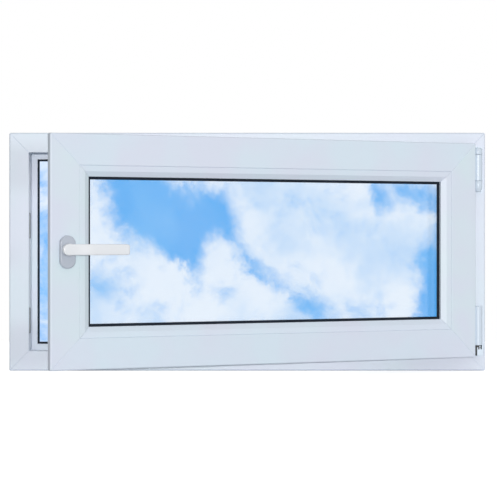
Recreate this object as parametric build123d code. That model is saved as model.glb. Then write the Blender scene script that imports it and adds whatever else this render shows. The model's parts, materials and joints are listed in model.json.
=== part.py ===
from build123d import *
import os

# A white PVC window whose sash turns inwards on two hinges, in millimetres.
# X runs to the right and Y towards the street, both as seen from the room, and Z runs up.
# The origin is the middle of the frame's underside, half way through the frame's depth.
# The sash is drawn shut, in the frame's own directions, and swung open at the end.

# Outer frame: overall size, and the profile that its four members share
FRAME_WIDTH = 1000.0
FRAME_HEIGHT = 500.0
FRAME_DEPTH = 70.0
FRAME_FACE = 41.5
REBATE_DEPTH = 38.0
GUTTER_DROP = 4.0
STOP_RISE = 14.5
STOP_THICKNESS = 13.0
STOP_SLANT = 4.0
FRAME_EDGE_RADIUS = 3.0
PROFILE_ROUND = 1.5

# Drain slots in the street face of the sill
DRAIN_LENGTH = 28.0
DRAIN_HEIGHT = 5.0
DRAIN_DEPTH = 14.0
DRAIN_SPACING = 560.0

# Frame seal, a soft bead in a notch on the tip of the stop
FRAME_SEAL_WIDTH = 4.5
FRAME_SEAL_NOTCH = 3.5
SEAL_PROUD = 2.0

# Sash: its place in the frame, and the profile that its four members share
SASH_STRIP = 26.5
SASH_LIFT = 3.0
SASH_PROUD = 20.0
SASH_DEPTH = 70.0
SASH_FACE = 60.0
LIP_WIDTH = 25.0
LIP_THICKNESS = 13.0
GLASS_LIP_RISE = 10.5
GLASS_LIP_THICKNESS = 28.0
GLASS_LIP_SLANT = 16.0
SASH_EDGE_RADIUS = 3.0
WELD_GROOVE = 0.8
CORNER_CUT = 2.5

# Hardware groove round the sash, and the steel strips that lie in it
GROOVE_OFFSET = 22.0
GROOVE_WIDTH = 16.0
GROOVE_SHELF = 2.0
GROOVE_DEPTH = 9.0
STRIP_THICKNESS = 3.0
STRIP_END_GAP = 45.0
CAM_RADIUS = 4.5
CAM_HEIGHT = 1.5
CAM_SPACING = 200.0

# Keeps, the plates on the frame that the cams turn behind
KEEP_LENGTH = 54.0
KEEP_WIDTH = 18.0
KEEP_THICKNESS = 3.0
KEEP_PROUD = 1.0
KEEP_CORNER = 2.5
KEEP_SETBACK = 4.0
KEEP_POCKET_LENGTH = 30.0
KEEP_POCKET_WIDTH = 11.0
KEEP_POCKET_DEPTH = 2.0
KEEP_OFFSET = 45.0

# Sash seal on the back of the lip
SASH_SEAL_INSET = 2.0
SASH_SEAL_WIDTH = 4.0
SASH_SEAL_FOOT = 2.0
SASH_SEAL_FOOT_DEPTH = 2.5

# Glazing: beads, gaskets, and two panes on a spacer
BEAD_WIDTH = 21.0
BEAD_SINK = 1.0
BEAD_SLOPE = 1.2
BEAD_FLAT = 11.0
BEAD_SHOULDER = 8.0
BEAD_MITRE_GAP = 0.2
BEAD_TONGUE_OFFSET = 6.0
BEAD_TONGUE = 3.0
BEAD_TONGUE_WIDTH = 2.6
TONGUE_CLEARANCE = 0.2
GASKET_THICKNESS = 4.0
GASKET_SEAT = 3.0
GASKET_PROUD = 5.3
OUTER_GASKET_PROUD = 0.5
PANE_THICKNESS = 4.0
PANE_GAP = 12.0
GLASS_EDGE_CLEARANCE = 5.0
SPACER_INSET = 1.5
SPACER_WIDTH = 4.5

# Hinges on the right, about one upright axis beside the sash
HINGE_AXIS_SIDE = 10.0
HINGE_AXIS_PROUD = 12.0
BARREL_RADIUS = 9.0
JOINT_BEVEL = 0.7
SLEEVE_BEVEL = 1.2
CAP_BEVEL = 3.0
KNUCKLE_TAPER = 2.6
KNUCKLE_TAPER_HEIGHT = 7.0
HINGE_PIN_RADIUS = 3.5
HINGE_FIT = 0.05
HINGE_GAP = 0.5
HINGE_WEB_WIDTH = 12.0
HINGE_PLATE_WIDTH = 21.0
HINGE_PLATE_THICKNESS = 1.5
HINGE_PLATE_MARGIN = 2.5
SLEEVE_FOOT_THICKNESS = 8.0
SLEEVE_FOOT_MARGIN = 2.0
BOTTOM_HINGE_BASE = 33.0
BOTTOM_CUP_HEIGHT = 21.0
BOTTOM_SLEEVE_HEIGHT = 82.0
BOTTOM_PIN_REACH = 45.0
BUSH_WIDTH = 14.0
BUSH_DEPTH = 16.0
BUSH_ROUND = 4.0
CUP_LEFT = 3.0
CUP_RIGHT = 11.0
CUP_FRONT = 9.0
CUP_EDGE_ROUND = 1.5
CUP_STEP_WIDTH = 5.5
CUP_STEP_DEPTH = 4.0
CUP_NOTCH_WIDTH = 3.0
CUP_NOTCH_DEPTH = 8.0
CUP_NOTCH_PLACE = 4.2
TOP_HINGE_DROP = 32.0
TOP_CAP_HEIGHT = 14.0
TOP_SLEEVE_HEIGHT = 55.0
TOP_KNUCKLE_HEIGHT = 22.0
PIN_SEAT = 3.0

# Handle on the left stile
HANDLE_SETBACK = 33.0
HANDLE_LIFT = 4.0
ROSETTE_WIDTH = 31.0
ROSETTE_HEIGHT = 62.5
ROSETTE_DROP = 4.5
ROSETTE_THICKNESS = 8.0
ROSETTE_BEVEL = 2.5
NECK_RADIUS = 11.5
NECK_FIT = 0.05
NECK_LIFT = 0.5
NECK_TOP = 19.0
LEVER_LENGTH = 117.0
LEVER_HUB_RADIUS = 10.6
LEVER_HUB_SHIFT = 4.5
LEVER_TIP_WIDTH = 20.4
LEVER_TIP_CORNER = 5.0
LEVER_HUB_BACK = 13.5
LEVER_HUB_FRONT = 24.0
LEVER_BACK = 20.0
LEVER_FRONT = 31.0
LEVER_BEND = 43.0
LEVER_BEND_RADIUS = 20.0
LEVER_BEVEL = 2.4
SPINDLE_SIZE = 7.0
SPINDLE_SOCKET = 18.0
SPINDLE_REACH = 42.0
SPINDLE_SLOT = 12.0

# The sash stands this far open
OPEN_ANGLE = 26.6

# Places that follow from the sizes above
ROOM_FACE = -FRAME_DEPTH / 2
SASH_FRONT = ROOM_FACE - SASH_PROUD
SASH_WIDTH = FRAME_WIDTH - 2 * SASH_STRIP
SASH_HEIGHT = FRAME_HEIGHT - 2 * SASH_STRIP
SASH_MIDDLE = FRAME_HEIGHT / 2 + SASH_LIFT
STOP_TIP = FRAME_FACE + STOP_RISE
STOP_FRONT = FRAME_DEPTH - STOP_THICKNESS
GLASS_LIP_TIP = SASH_FACE + GLASS_LIP_RISE
GLASS_LIP_FRONT = SASH_DEPTH - GLASS_LIP_THICKNESS
OUTER_PANE_BACK = GLASS_LIP_FRONT - GASKET_THICKNESS
OUTER_PANE_FRONT = OUTER_PANE_BACK - PANE_THICKNESS
INNER_PANE_BACK = OUTER_PANE_FRONT - PANE_GAP
INNER_PANE_FRONT = INNER_PANE_BACK - PANE_THICKNESS
BEAD_BACK = INNER_PANE_FRONT - GASKET_THICKNESS
BEAD_TIP = SASH_FACE + BEAD_WIDTH
GLASS_EDGE = SASH_FACE + GLASS_EDGE_CLEARANCE
HINGE_X = SASH_WIDTH / 2 + HINGE_AXIS_SIDE
HINGE_Y = ROOM_FACE - HINGE_AXIS_PROUD
HANDLE_X = -SASH_WIDTH / 2 + HANDLE_SETBACK
HANDLE_Z = SASH_MIDDLE + HANDLE_LIFT

# Where the cams stand along their strips. The strips slide by the keeps' offset to lock, all one way round.
SIDE_CAMS = (-CAM_SPACING / 2, CAM_SPACING / 2)
LEVEL_CAMS = (0.0,)

BOTTOM_ALIGN = (Align.CENTER, Align.CENTER, Align.MIN)


def outline(corners):
    """A closed section from (depth, inset, rounding) corners."""
    points = [(depth, inset) for depth, inset, _ in corners]
    return make_face(FilletPolyline(*points, radius=[corner[2] for corner in corners], close=True))


def weld_groove(end, inset_from, inset_to, depth):
    """A small V along a mitre, on a face at the given depth. End is the bar's end in X."""
    middle = (inset_from + inset_to) / 2
    length = (inset_to - inset_from) * 2**0.5
    lean = 45 if end > 0 else -45
    x = end - middle if end > 0 else end + middle
    groove = Rot(45, 0, 0) * Box(length, WELD_GROOVE, WELD_GROOVE)
    return Pos(x, depth, middle) * Rot(0, lean, 0) * groove


def mitred_bar(section, length, reach, gap=0.0, cut=0.0, grooves=()):
    """A bar along X with its outer edge at Z = 0 and 45 degree ends, reaching inwards to Z = reach.

    Four such bars meet in corners whose tip is cut off square to the mitre, by the given amount.
    """
    end = length / 2 - gap
    right = [(end - cut / 2, cut / 2), (end - reach, reach)]
    if cut:
        right.insert(0, (end - cut, 0))
    left = [(-x, z) for x, z in reversed(right)]
    room = make_face(Polyline(*right, *left, close=True))
    room = extrude(Plane.XZ * room, amount=FRAME_DEPTH + SASH_DEPTH, both=True)
    bar = extrude(Plane.YZ * section, amount=length / 2, both=True) & room
    for inset_from, inset_to, depth in grooves:
        for side in (-1, 1):
            bar -= weld_groove(side * length / 2, inset_from, inset_to, depth)
    return bar


def around(width, height, middle):
    """Where the four bars of a rectangle go: bottom, right, top and left, with each bar's length."""
    return {
        "bottom": (width, Pos(0, 0, middle - height / 2)),
        "right": (height, Pos(width / 2, 0, middle) * Rot(0, -90, 0)),
        "top": (width, Pos(0, 0, middle + height / 2) * Rot(0, 180, 0)),
        "left": (height, Pos(-width / 2, 0, middle) * Rot(0, 90, 0)),
    }


FRAME_PLACES = around(FRAME_WIDTH, FRAME_HEIGHT, FRAME_HEIGHT / 2)
SASH_PLACES = around(SASH_WIDTH, SASH_HEIGHT, SASH_MIDDLE)


def bars(section, places, reach, gap=0.0, cut=0.0, grooves=()):
    """The four mitred bars of a frame, by side."""
    return {
        side: place * mitred_bar(section, length, reach, gap, cut, grooves)
        for side, (length, place) in places.items()
    }


def ring(section, places, reach):
    """One closed loop of a section, mitred at its corners."""
    pieces = list(bars(section, places, reach).values())
    return pieces[0].fuse(*pieces[1:]).clean()


def frame_section():
    """The outer frame's profile: face, rebate, gutter and stop, with a notch for the seal."""
    face, tip = ROOM_FACE, STOP_TIP
    stop, back = ROOM_FACE + STOP_FRONT, ROOM_FACE + FRAME_DEPTH
    notch = stop + FRAME_SEAL_NOTCH
    notch_floor = tip + SEAL_PROUD - FRAME_SEAL_WIDTH
    notch_edge = tip - STOP_SLANT * FRAME_SEAL_NOTCH / STOP_THICKNESS
    gutter = FRAME_FACE - GUTTER_DROP
    return outline([
        (face, 0, FRAME_EDGE_RADIUS),
        (face, FRAME_FACE, PROFILE_ROUND),
        (face + REBATE_DEPTH, FRAME_FACE, PROFILE_ROUND),
        (face + REBATE_DEPTH + GUTTER_DROP, gutter, PROFILE_ROUND),
        (stop, gutter, PROFILE_ROUND),
        (stop, notch_floor, 0),
        (notch, notch_floor, 0),
        (notch, notch_edge, 0),
        (back, tip - STOP_SLANT, FRAME_EDGE_RADIUS),
        (back, 0, FRAME_EDGE_RADIUS),
    ])


def frame_seal_section():
    """The soft bead that fills the stop's notch and stands out of it to the room and past the tip."""
    tip, stop = STOP_TIP, ROOM_FACE + STOP_FRONT
    notch_floor = tip + SEAL_PROUD - FRAME_SEAL_WIDTH
    return outline([
        (stop - SEAL_PROUD, notch_floor, PROFILE_ROUND),
        (stop - SEAL_PROUD, tip + SEAL_PROUD, PROFILE_ROUND),
        (stop + FRAME_SEAL_NOTCH, tip + SEAL_PROUD, PROFILE_ROUND),
        (stop + FRAME_SEAL_NOTCH, notch_floor, 0),
    ])


def sash_section():
    """The sash's profile: overlap lip, hardware groove, body, and the lip behind the glass."""
    front, back = SASH_FRONT, SASH_FRONT + SASH_DEPTH
    lip_back = front + LIP_THICKNESS
    seat = front + GROOVE_OFFSET
    shelf = LIP_WIDTH + STRIP_THICKNESS
    tongue = front + BEAD_TONGUE_OFFSET
    foot = SASH_SEAL_INSET + (SASH_SEAL_WIDTH - SASH_SEAL_FOOT) / 2
    return outline([
        (front, 0, SASH_EDGE_RADIUS),
        (front, SASH_FACE, PROFILE_ROUND),
        (tongue, SASH_FACE, 0),
        (tongue, SASH_FACE - BEAD_TONGUE - TONGUE_CLEARANCE, 0),
        (tongue + BEAD_TONGUE_WIDTH + 2 * TONGUE_CLEARANCE, SASH_FACE - BEAD_TONGUE - TONGUE_CLEARANCE, 0),
        (tongue + BEAD_TONGUE_WIDTH + 2 * TONGUE_CLEARANCE, SASH_FACE, 0),
        (front + GLASS_LIP_FRONT, SASH_FACE, 0),
        (front + GLASS_LIP_FRONT, GLASS_LIP_TIP, PROFILE_ROUND),
        (back, GLASS_LIP_TIP - GLASS_LIP_SLANT, SASH_EDGE_RADIUS),
        (back, LIP_WIDTH, SASH_EDGE_RADIUS),
        (seat + GROOVE_WIDTH, LIP_WIDTH, 0),
        (seat + GROOVE_WIDTH, shelf, 0),
        (seat + GROOVE_WIDTH - GROOVE_SHELF, shelf, 0),
        (seat + GROOVE_WIDTH - GROOVE_SHELF, shelf + GROOVE_DEPTH, 0),
        (seat + GROOVE_SHELF, shelf + GROOVE_DEPTH, 0),
        (seat + GROOVE_SHELF, shelf, 0),
        (seat, shelf, 0),
        (seat, LIP_WIDTH, 0),
        (lip_back, LIP_WIDTH, PROFILE_ROUND),
        (lip_back, foot + SASH_SEAL_FOOT, 0),
        (lip_back - SASH_SEAL_FOOT_DEPTH, foot + SASH_SEAL_FOOT, 0),
        (lip_back - SASH_SEAL_FOOT_DEPTH, foot, 0),
        (lip_back, foot, 0),
        (lip_back, 0, 0),
    ])


def sash_seal_section():
    """The soft seal on the back of the lip, with a foot in its groove."""
    lip_back = SASH_FRONT + LIP_THICKNESS
    inset, width = SASH_SEAL_INSET, SASH_SEAL_WIDTH
    foot = inset + (width - SASH_SEAL_FOOT) / 2
    return outline([
        (lip_back, inset, 0),
        (lip_back + SEAL_PROUD, inset, PROFILE_ROUND),
        (lip_back + SEAL_PROUD, inset + width, PROFILE_ROUND),
        (lip_back, inset + width, 0),
        (lip_back, foot + SASH_SEAL_FOOT, 0),
        (lip_back - SASH_SEAL_FOOT_DEPTH, foot + SASH_SEAL_FOOT, 0),
        (lip_back - SASH_SEAL_FOOT_DEPTH, foot, 0),
        (lip_back, foot, 0),
    ])


def bead_section():
    """A glazing bead: a nearly flat face, a shoulder down to the glass, and a tongue into the sash."""
    front, back = SASH_FRONT + BEAD_SINK, SASH_FRONT + BEAD_BACK
    tongue = SASH_FRONT + BEAD_TONGUE_OFFSET + TONGUE_CLEARANCE
    return outline([
        (front, SASH_FACE, PROFILE_ROUND / 2),
        (front + BEAD_SLOPE, SASH_FACE + BEAD_FLAT, PROFILE_ROUND),
        (front + BEAD_SHOULDER, BEAD_TIP, PROFILE_ROUND),
        (back, BEAD_TIP, 0),
        (back, SASH_FACE, 0),
        (tongue + BEAD_TONGUE_WIDTH, SASH_FACE, 0),
        (tongue + BEAD_TONGUE_WIDTH, SASH_FACE - BEAD_TONGUE, 0),
        (tongue, SASH_FACE - BEAD_TONGUE, 0),
        (tongue, SASH_FACE, 0),
    ])


def gasket_section(depth, tip, proud):
    """A glazing gasket between the glass and what holds it, showing as a dark line past the tip."""
    front = SASH_FRONT + depth
    return outline([
        (front, tip - GASKET_SEAT, 0),
        (front, tip + proud, PROFILE_ROUND),
        (front + GASKET_THICKNESS, tip + proud, PROFILE_ROUND),
        (front + GASKET_THICKNESS, tip - GASKET_SEAT, 0),
    ])


def spacer_section():
    """The bar that keeps the two panes apart, near their edge."""
    front = SASH_FRONT + INNER_PANE_BACK
    inset = GLASS_EDGE + SPACER_INSET
    return outline([
        (front, inset, 0),
        (front, inset + SPACER_WIDTH, 0),
        (front + PANE_GAP, inset + SPACER_WIDTH, 0),
        (front + PANE_GAP, inset, 0),
    ])


def pane(front):
    """One sheet of glass, its room side at the given depth behind the sash's face."""
    width = SASH_WIDTH - 2 * GLASS_EDGE
    height = SASH_HEIGHT - 2 * GLASS_EDGE
    return Pos(0, SASH_FRONT + front + PANE_THICKNESS / 2, SASH_MIDDLE) * Box(width, PANE_THICKNESS, height)


def lock_strip(side, cam_places):
    """A steel strip in the hardware groove, with round cams that stand out of it."""
    length, place = SASH_PLACES[side]
    centre = SASH_FRONT + GROOVE_OFFSET + GROOVE_WIDTH / 2
    end = length / 2 - LIP_WIDTH - STRIP_END_GAP
    strip = Pos(0, centre, LIP_WIDTH) * Box(2 * end, GROOVE_WIDTH, STRIP_THICKNESS, align=BOTTOM_ALIGN)
    strip = chamfer(strip.edges().filter_by(Axis.Z), GROOVE_SHELF)
    for x in cam_places:
        cam = Cylinder(CAM_RADIUS, CAM_HEIGHT, align=BOTTOM_ALIGN)
        strip += Pos(x, centre, LIP_WIDTH - CAM_HEIGHT) * cam
    return place * strip


def keep_plate(side, along):
    """The outer shape of a keep, let into the frame's rebate wall, at a place along its bar."""
    _, place = FRAME_PLACES[side]
    centre = ROOM_FACE + KEEP_SETBACK + KEEP_WIDTH / 2
    plate = Box(KEEP_LENGTH, KEEP_WIDTH, KEEP_THICKNESS, align=BOTTOM_ALIGN)
    plate = chamfer(plate.edges().filter_by(Axis.Z), KEEP_CORNER)
    return place * (Pos(along, centre, FRAME_FACE + KEEP_PROUD - KEEP_THICKNESS) * plate)


def keep(side, along):
    """A keep with the pocket that its cam runs in."""
    _, place = FRAME_PLACES[side]
    centre = ROOM_FACE + KEEP_SETBACK + KEEP_WIDTH / 2
    pocket = Box(KEEP_POCKET_LENGTH, KEEP_POCKET_WIDTH, 2 * KEEP_POCKET_DEPTH)
    return keep_plate(side, along) - place * (Pos(along, centre, FRAME_FACE + KEEP_PROUD) * pocket)


def turned(base, corners):
    """A solid turned on the hinge axis, from (radius, height) corners over its base."""
    half = make_face(Polyline((0, 0), *corners, (0, corners[-1][1]), close=True))
    return Pos(HINGE_X, HINGE_Y, base) * revolve(Plane.XZ * half, Axis.Z)


def pin_bore(base, height):
    """The running bore for a hinge pin, between two heights."""
    return turned(base, [(HINGE_PIN_RADIUS + HINGE_FIT, 0), (HINGE_PIN_RADIUS + HINGE_FIT, height)])


def pin(base, height):
    """A hinge pin that stands on the floor of its bore."""
    return turned(base, [(HINGE_PIN_RADIUS, 0), (HINGE_PIN_RADIUS, height)])


def hinge_plate(base, height):
    """A thin plate on the frame's room face, behind the barrels."""
    rear_bottom = (Align.CENTER, Align.MAX, Align.MIN)
    plate = Box(HINGE_PLATE_WIDTH, HINGE_PLATE_THICKNESS, height, align=rear_bottom)
    plate = fillet(plate.edges().filter_by(Axis.Y), HINGE_PLATE_MARGIN)
    return Pos(HINGE_X, ROOM_FACE, base) * plate


def web(base, height):
    """The web that carries a barrel on the frame's hinge plate."""
    bar = Box(HINGE_WEB_WIDTH, HINGE_AXIS_PROUD, height, align=(Align.CENTER, Align.MIN, Align.MIN))
    return Pos(HINGE_X, HINGE_Y, base) * bar


def sleeve(base, height, bore_height, bevel_low, bevel_high):
    """A barrel on the sash, with bevelled ends and a foot against the edge of the sash's lip."""
    foot = Box(
        HINGE_AXIS_SIDE,
        SLEEVE_FOOT_THICKNESS,
        height - 2 * SLEEVE_FOOT_MARGIN,
        align=(Align.MAX, Align.CENTER, Align.MIN),
    )
    lip_flat = SASH_FRONT + (SASH_EDGE_RADIUS + LIP_THICKNESS) / 2
    body = turned(base, [
        (BARREL_RADIUS - bevel_low, 0),
        (BARREL_RADIUS, bevel_low),
        (BARREL_RADIUS, height - bevel_high),
        (BARREL_RADIUS - bevel_high, height),
    ])
    body += Pos(HINGE_X, lip_flat, base + SLEEVE_FOOT_MARGIN) * foot
    return body - pin_bore(base, bore_height)


def cup_notch(left, right, depth):
    """A notch in the rim of the lower bearing's cup, between two places beside the hinge axis."""
    rim = BOTTOM_HINGE_BASE + BOTTOM_CUP_HEIGHT
    cut = Box(right - left, CUP_FRONT, 2 * depth, align=(Align.MIN, Align.MAX, Align.CENTER))
    return Pos(HINGE_X + left, HINGE_Y, rim) * cut


def bottom_hinge():
    """The corner bearing: a notched cup on the frame, its bush and pin, and the sleeve on the pin."""
    base, height = BOTTOM_HINGE_BASE, BOTTOM_CUP_HEIGHT
    depth = CUP_FRONT + HINGE_AXIS_PROUD
    cup = Box(CUP_LEFT + CUP_RIGHT, depth, height, align=(Align.MIN, Align.MIN, Align.MIN))
    cup = Pos(HINGE_X - CUP_LEFT, HINGE_Y - CUP_FRONT, base) * cup
    cup = fillet(cup.edges().filter_by(Axis.Z).group_by(Axis.Y)[0], CUP_EDGE_ROUND)
    cup += hinge_plate(base - HINGE_PLATE_MARGIN, height + 2 * HINGE_PLATE_MARGIN)
    bush = Pos(HINGE_X, HINGE_Y, base) * Box(BUSH_WIDTH, BUSH_DEPTH, height, align=BOTTOM_ALIGN)
    bush = fillet(bush.edges().filter_by(Axis.Z), BUSH_ROUND)
    step_end = CUP_STEP_WIDTH - CUP_LEFT
    cup -= cup_notch(-CUP_LEFT, step_end, CUP_STEP_DEPTH)
    cup -= cup_notch(step_end - CUP_NOTCH_WIDTH, step_end, CUP_NOTCH_DEPTH)
    cup -= cup_notch(CUP_NOTCH_PLACE, CUP_NOTCH_PLACE + CUP_NOTCH_WIDTH, CUP_NOTCH_DEPTH)
    pin_height = height + BOTTOM_PIN_REACH - PIN_SEAT
    bored = bush - pin_bore(base + PIN_SEAT, pin_height)
    sleeve_base = base + height + HINGE_GAP
    turning = sleeve(sleeve_base, BOTTOM_SLEEVE_HEIGHT, BOTTOM_PIN_REACH, JOINT_BEVEL, SLEEVE_BEVEL)
    return cup - bush, bored, pin(base + PIN_SEAT, pin_height), turning


def top_hinge():
    """The upper bearing: two knuckles on the frame, the long pin, and the sleeve between them."""
    cap_base = FRAME_HEIGHT - TOP_HINGE_DROP - TOP_CAP_HEIGHT
    sleeve_base = cap_base - HINGE_GAP - TOP_SLEEVE_HEIGHT
    knuckle_base = sleeve_base - HINGE_GAP - TOP_KNUCKLE_HEIGHT
    plate_base = knuckle_base - HINGE_PLATE_MARGIN
    plate_height = cap_base + TOP_CAP_HEIGHT - knuckle_base + 2 * HINGE_PLATE_MARGIN
    pin_base = knuckle_base + PIN_SEAT
    pin_height = cap_base + TOP_CAP_HEIGHT - PIN_SEAT - pin_base
    fixed = hinge_plate(plate_base, plate_height)
    fixed += turned(knuckle_base, [
        (BARREL_RADIUS - KNUCKLE_TAPER, 0),
        (BARREL_RADIUS, KNUCKLE_TAPER_HEIGHT),
        (BARREL_RADIUS, TOP_KNUCKLE_HEIGHT),
    ])
    fixed += turned(cap_base, [
        (BARREL_RADIUS, 0),
        (BARREL_RADIUS, TOP_CAP_HEIGHT - CAP_BEVEL),
        (BARREL_RADIUS - CAP_BEVEL, TOP_CAP_HEIGHT),
    ])
    fixed += web(knuckle_base + KNUCKLE_TAPER_HEIGHT, TOP_KNUCKLE_HEIGHT - KNUCKLE_TAPER_HEIGHT)
    fixed += web(cap_base, TOP_CAP_HEIGHT - CAP_BEVEL)
    fixed -= pin_bore(pin_base, pin_height)
    turning = sleeve(sleeve_base, TOP_SLEEVE_HEIGHT, TOP_SLEEVE_HEIGHT, JOINT_BEVEL, JOINT_BEVEL)
    return fixed, pin(pin_base, pin_height), turning


def on_sash(piece):
    """Turns a handle piece, drawn with its axis up, to stand on the room face of the lock stile."""
    return Pos(HANDLE_X, SASH_FRONT, HANDLE_Z) * Rot(90, 0, 0) * piece


def rosette():
    """The handle's base: a rounded plate with a bore for the handle's neck."""
    slot = Rot(0, 0, 90) * SlotOverall(ROSETTE_HEIGHT, ROSETTE_WIDTH)
    plate = extrude(Pos(0, -ROSETTE_DROP) * slot, amount=ROSETTE_THICKNESS)
    plate = chamfer(plate.faces().sort_by(Axis.Z)[-1].edges(), ROSETTE_BEVEL)
    bore = Cylinder(NECK_RADIUS + NECK_FIT, ROSETTE_THICKNESS, align=BOTTOM_ALIGN)
    return on_sash(plate - bore)


def spindle_square(base, height):
    """The square of the handle's spindle, between two heights over the sash's face."""
    return Pos(0, 0, base) * Box(SPINDLE_SIZE, SPINDLE_SIZE, height, align=BOTTOM_ALIGN)


def lever():
    """The handle: a tapering cranked bar on a round neck, with a square socket for the spindle."""
    corner = Circle(LEVER_TIP_CORNER)
    tip = LEVER_LENGTH - LEVER_TIP_CORNER
    side_step = LEVER_TIP_WIDTH / 2 - LEVER_TIP_CORNER
    upper, lower = Pos(tip, side_step) * corner, Pos(tip, -side_step) * corner
    hub_end = Pos(-LEVER_HUB_SHIFT, 0) * Circle(LEVER_HUB_RADIUS)
    plan = make_hull(hub_end.edges() + upper.edges() + lower.edges())
    # The side view runs past both ends of the plan
    left, right = -LEVER_LENGTH, 2 * LEVER_LENGTH
    side = outline([
        (left, LEVER_HUB_BACK, 0),
        (LEVER_HUB_RADIUS, LEVER_HUB_BACK, LEVER_BEND_RADIUS),
        (LEVER_BEND, LEVER_BACK, LEVER_BEND_RADIUS),
        (right, LEVER_BACK, 0),
        (right, LEVER_FRONT, 0),
        (LEVER_BEND, LEVER_FRONT, LEVER_BEND_RADIUS),
        (LEVER_HUB_RADIUS, LEVER_HUB_FRONT, LEVER_BEND_RADIUS),
        (left, LEVER_HUB_FRONT, 0),
    ])
    bar = extrude(plan, amount=LEVER_FRONT) & extrude(Plane.XZ * side, amount=LEVER_LENGTH, both=True)
    bar = chamfer(bar.edges().filter_by(Axis.Z, reverse=True), LEVER_BEVEL)
    bar += Pos(0, 0, NECK_LIFT) * Cylinder(NECK_RADIUS, NECK_TOP - NECK_LIFT, align=BOTTOM_ALIGN)
    return on_sash(bar - spindle_square(NECK_LIFT, SPINDLE_SOCKET))


def spindle():
    """The square bar from the handle's neck into the lock behind the stile's face."""
    return on_sash(spindle_square(-SPINDLE_REACH, SPINDLE_REACH + NECK_LIFT + SPINDLE_SOCKET))


def fixed_pieces():
    """The pieces that stay with the wall."""
    back = ROOM_FACE + FRAME_DEPTH
    grooves = [
        (FRAME_EDGE_RADIUS, FRAME_FACE - PROFILE_ROUND, ROOM_FACE),
        (FRAME_EDGE_RADIUS, STOP_TIP - STOP_SLANT - FRAME_EDGE_RADIUS, back),
    ]
    members = bars(frame_section(), FRAME_PLACES, STOP_TIP, cut=CORNER_CUT, grooves=grooves)
    for side in (-1, 1):
        slot = SlotOverall(DRAIN_LENGTH, DRAIN_HEIGHT)
        cut = extrude(Plane.XZ * slot, amount=DRAIN_DEPTH, both=True)
        members["bottom"] -= Pos(side * DRAIN_SPACING / 2, back, FRAME_FACE - GUTTER_DROP) * cut
    keeps = {
        "keep_left_lower": ("left", SIDE_CAMS[1] + KEEP_OFFSET),
        "keep_left_upper": ("left", SIDE_CAMS[0] + KEEP_OFFSET),
        "keep_head": ("top", LEVEL_CAMS[0] + KEEP_OFFSET),
        "keep_sill": ("bottom", LEVEL_CAMS[0] + KEEP_OFFSET),
    }
    for side, along in keeps.values():
        members[side] -= keep_plate(side, along)
    bearing_bottom, bush_bottom, pin_bottom, _ = bottom_hinge()
    bearing_top, pin_top, _ = top_hinge()
    return {
        "frame_sill": members["bottom"],
        "frame_right_jamb": members["right"],
        "frame_head": members["top"],
        "frame_left_jamb": members["left"],
        "frame_seal": ring(frame_seal_section(), FRAME_PLACES, STOP_TIP + SEAL_PROUD),
        "hinge_bottom_bearing": bearing_bottom,
        "hinge_bottom_bush": bush_bottom,
        "hinge_bottom_pin": pin_bottom,
        "hinge_top_bearing": bearing_top,
        "hinge_top_pin": pin_top,
    } | {name: keep(side, along) for name, (side, along) in keeps.items()}


def sash_pieces():
    """The pieces that turn with the sash, drawn shut."""
    front, back = SASH_FRONT, SASH_FRONT + SASH_DEPTH
    grooves = [
        (SASH_EDGE_RADIUS, SASH_FACE - PROFILE_ROUND, front),
        (LIP_WIDTH + SASH_EDGE_RADIUS, GLASS_LIP_TIP - GLASS_LIP_SLANT - SASH_EDGE_RADIUS, back),
    ]
    members = bars(sash_section(), SASH_PLACES, GLASS_LIP_TIP, cut=CORNER_CUT, grooves=grooves)
    slot = Box(SPINDLE_SLOT, SPINDLE_SLOT, SPINDLE_REACH, align=(Align.CENTER, Align.CENTER, Align.MAX))
    members["left"] -= on_sash(slot)
    beads = bars(bead_section(), SASH_PLACES, BEAD_TIP, gap=BEAD_MITRE_GAP)
    inner_seal = gasket_section(BEAD_BACK, BEAD_TIP, GASKET_PROUD)
    outer_seal = gasket_section(OUTER_PANE_BACK, GLASS_LIP_TIP, OUTER_GASKET_PROUD)
    spacer_reach = GLASS_EDGE + SPACER_INSET + SPACER_WIDTH
    return {
        "sash_bottom_rail": members["bottom"],
        "sash_hinge_stile": members["right"],
        "sash_top_rail": members["top"],
        "sash_lock_stile": members["left"],
        "bead_bottom": beads["bottom"],
        "bead_hinge_side": beads["right"],
        "bead_top": beads["top"],
        "bead_lock_side": beads["left"],
        "glazing_seal_inner": ring(inner_seal, SASH_PLACES, BEAD_TIP + GASKET_PROUD),
        "glazing_seal_outer": ring(outer_seal, SASH_PLACES, GLASS_LIP_TIP + OUTER_GASKET_PROUD),
        "glass_inner": pane(INNER_PANE_FRONT),
        "glass_outer": pane(OUTER_PANE_FRONT),
        "spacer_bar": ring(spacer_section(), SASH_PLACES, spacer_reach),
        "sash_seal": ring(sash_seal_section(), SASH_PLACES, SASH_SEAL_INSET + SASH_SEAL_WIDTH),
        "lock_strip_side": lock_strip("left", SIDE_CAMS),
        "lock_strip_top": lock_strip("top", LEVEL_CAMS),
        "lock_strip_bottom": lock_strip("bottom", LEVEL_CAMS),
        "hinge_bottom_sleeve": bottom_hinge()[-1],
        "hinge_top_sleeve": top_hinge()[-1],
        "handle_rosette": rosette(),
        "handle_lever": lever(),
        "handle_spindle": spindle(),
    }


def swung_open(piece):
    """Turns a piece of the sash about the hinge axis, towards the room."""
    return Pos(HINGE_X, HINGE_Y, 0) * Rot(0, 0, OPEN_ANGLE) * Pos(-HINGE_X, -HINGE_Y, 0) * piece


def window():
    """Every piece of the window, by name, as it stands."""
    pieces = fixed_pieces()
    for name, piece in sash_pieces().items():
        pieces[name] = swung_open(piece)
    return pieces


os.makedirs("parts", exist_ok=True)
for name, piece in window().items():
    export_step(piece, f"parts/{name}.step")
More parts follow.
